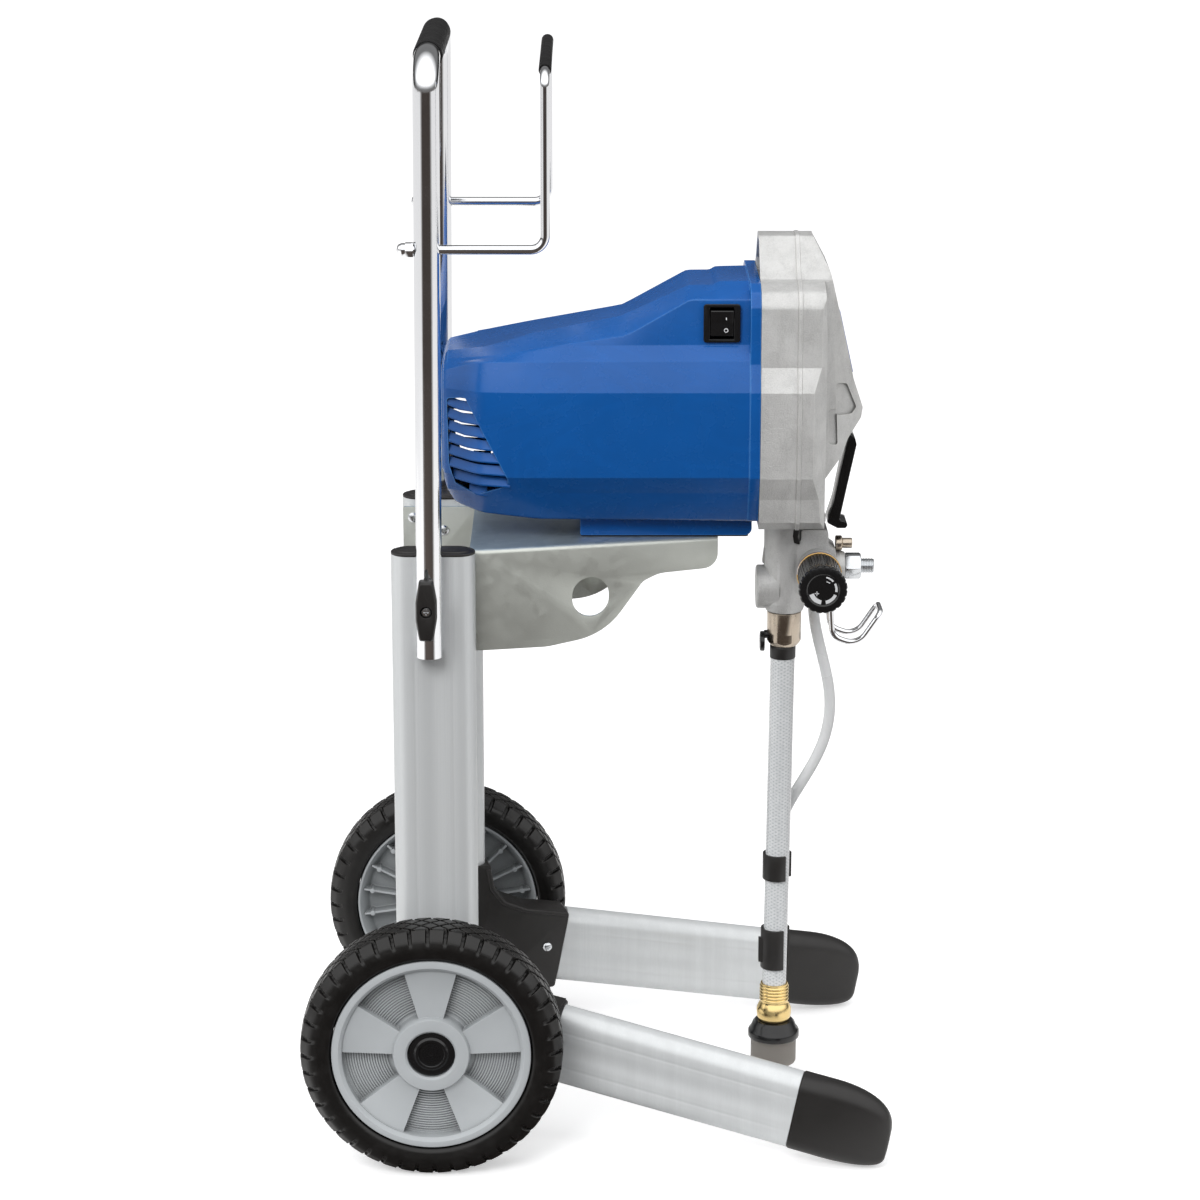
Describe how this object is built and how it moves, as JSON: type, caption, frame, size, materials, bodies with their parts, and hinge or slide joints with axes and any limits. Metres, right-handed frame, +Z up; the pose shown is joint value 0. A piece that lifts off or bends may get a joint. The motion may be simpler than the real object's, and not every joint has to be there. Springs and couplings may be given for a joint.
{
  "type": "wheeled airless paint sprayer",
  "caption": "Two-wheeled cart carrying an electric piston pump with suction hose, drain tube, sliding handle and hose rack, for airless paint spraying.",
  "frame": {"origin": "on the floor plane, under the middle of the overall bounding box (143.3 mm in front of the wheel axle)", "axes": "+X forward from the wheels to the feet, +Y to the operator's left along the axle, +Z up"},
  "size_m": [0.5146, 0.422, 0.9728],
  "materials": {
    "extrusion": "satin, fine lines along the extrusion",
    "zinc": "zinc plated, faint spangle",
    "chrome": "polished",
    "steel": "machined",
    "casting": "blasted casting, fine grain",
    "nickel": "warm nickel plate",
    "brass": "bright turned brass",
    "armature": "laminated steel and copper",
    "blue_plastic": "semi-gloss moulded",
    "black_plastic": "satin moulded",
    "hub_plastic": "satin moulded",
    "grip_rubber": "soft matt",
    "tyre": "matt, open diamond tread",
    "clear_hose": "clear flexible, braid inside the large hose",
    "ring_print": "printed in three plain colour zones"
  },
  "bodies": {
    "frame": {"right_column": "extrusion", "left_column": "extrusion", "right_column_cap": "black_plastic", "left_column_cap": "black_plastic", "right_corner_bracket": "black_plastic", "left_corner_bracket": "black_plastic", "right_corner_screw": "steel", "left_corner_screw": "steel", "right_leg": "extrusion", "left_leg": "extrusion", "right_foot": "black_plastic", "left_foot": "black_plastic", "platform_bracket": "zinc", "axle": "steel", "motor_shroud": "blue_plastic", "shroud_base": "blue_plastic", "drive_housing": "casting", "front_cover": "casting", "switch_bezel": "black_plastic", "motor_can": "steel", "pump_manifold": "casting", "pressure_ring": "ring_print", "outlet_fitting": "chrome", "manifold_plug": "nickel", "inlet_nut": "nickel", "hose_collar": "black_plastic", "suction_hose": "clear_hose", "hose_ferrule": "brass", "strainer_cap": "black_plastic", "strainer_mesh": "steel", "drain_tube": "clear_hose", "upper_hose_clip": "black_plastic", "lower_hose_clip": "black_plastic", "pail_hook": "chrome"},
    "right_wheel": {"right_tyre": "tyre", "right_wheel_hub": "hub_plastic", "right_axle_cap": "black_plastic"},
    "left_wheel": {"left_tyre": "tyre", "left_wheel_hub": "hub_plastic", "left_axle_cap": "black_plastic"},
    "handle": {"handle_tube": "chrome", "handle_grip": "grip_rubber", "hose_rack": "chrome", "hose_rack_sleeve": "grip_rubber", "right_rack_nut": "chrome", "left_rack_nut": "chrome"},
    "right_clamp": {"right_clamp_knob": "black_plastic", "right_clamp_bolt": "steel"},
    "left_clamp": {"left_clamp_knob": "black_plastic", "left_clamp_bolt": "steel"},
    "power_switch": {"switch_rocker": "black_plastic"},
    "latch": {"pump_door_latch": "black_plastic"},
    "pressure_control": {"pressure_knob": "black_plastic"},
    "prime_valve": {"prime_valve_knob": "black_plastic"},
    "inlet_button": {"inlet_push_button": "black_plastic"},
    "rotor": {"armature_shaft": "armature", "cooling_fan": "black_plastic"},
    "gear": {"drive_gear": "steel"},
    "piston": {"drive_yoke": "steel", "piston_rod": "steel"}
  },
  "joints": [
    {"name": "right_wheel_spin", "type": "hinge", "parent": "frame", "child": "right_wheel", "pos_m": [-0.14331, -0.187, 0.1145], "axis": [0, 1, 0], "continuous": true},
    {"name": "left_wheel_spin", "type": "hinge", "parent": "frame", "child": "left_wheel", "pos_m": [-0.14331, 0.187, 0.1145], "axis": [0, 1, 0], "continuous": true},
    {"name": "handle_slide", "type": "slide", "parent": "frame", "child": "handle", "axis": [0, 0, 1], "range_m": [-0.015, 0.02]},
    {"name": "right_clamp_turn", "type": "hinge", "parent": "frame", "child": "right_clamp", "pos_m": [-0.14531, -0.13, 0.497], "axis": [0, 1, 0], "range_deg": [-180, 180]},
    {"name": "left_clamp_turn", "type": "hinge", "parent": "frame", "child": "left_clamp", "pos_m": [-0.14531, 0.13, 0.497], "axis": [0, 1, 0], "range_deg": [-180, 180]},
    {"name": "switch_rock", "type": "hinge", "parent": "frame", "child": "power_switch", "pos_m": [0.10929, -0.0655, 0.728], "axis": [1, 0, 0], "range_deg": [-16, 0]},
    {"name": "latch_swing", "type": "hinge", "parent": "frame", "child": "latch", "pos_m": [0.22519, 0, 0.6165], "axis": [0, 1, 0], "range_deg": [-80, 0]},
    {"name": "pressure_turn", "type": "hinge", "parent": "frame", "child": "pressure_control", "pos_m": [0.19619, -0.07, 0.5005], "axis": [0, 1, 0], "range_deg": [0, 270]},
    {"name": "prime_turn", "type": "hinge", "parent": "frame", "child": "prime_valve", "pos_m": [0.19569, 0.055, 0.5005], "axis": [0, 1, 0], "range_deg": [0, 90]},
    {"name": "inlet_press", "type": "slide", "parent": "frame", "child": "inlet_button", "axis": [1, 0, 0], "range_m": [0, 0.002]},
    {"name": "rotor_spin", "type": "hinge", "parent": "frame", "child": "rotor", "pos_m": [0.03669, 0, 0.598], "axis": [1, 0, 0], "continuous": true},
    {"name": "gear_spin", "type": "hinge", "parent": "frame", "child": "gear", "pos_m": [0.15069, 0, 0.652], "axis": [1, 0, 0], "continuous": true},
    {"name": "piston_slide", "type": "slide", "parent": "frame", "child": "piston", "axis": [0, 0, 1], "range_m": [-0.014, 0.014]}
  ],
  "couplings": [
    {"joint": "gear_spin", "follows": "rotor_spin", "ratio": -0.2}
  ]
}
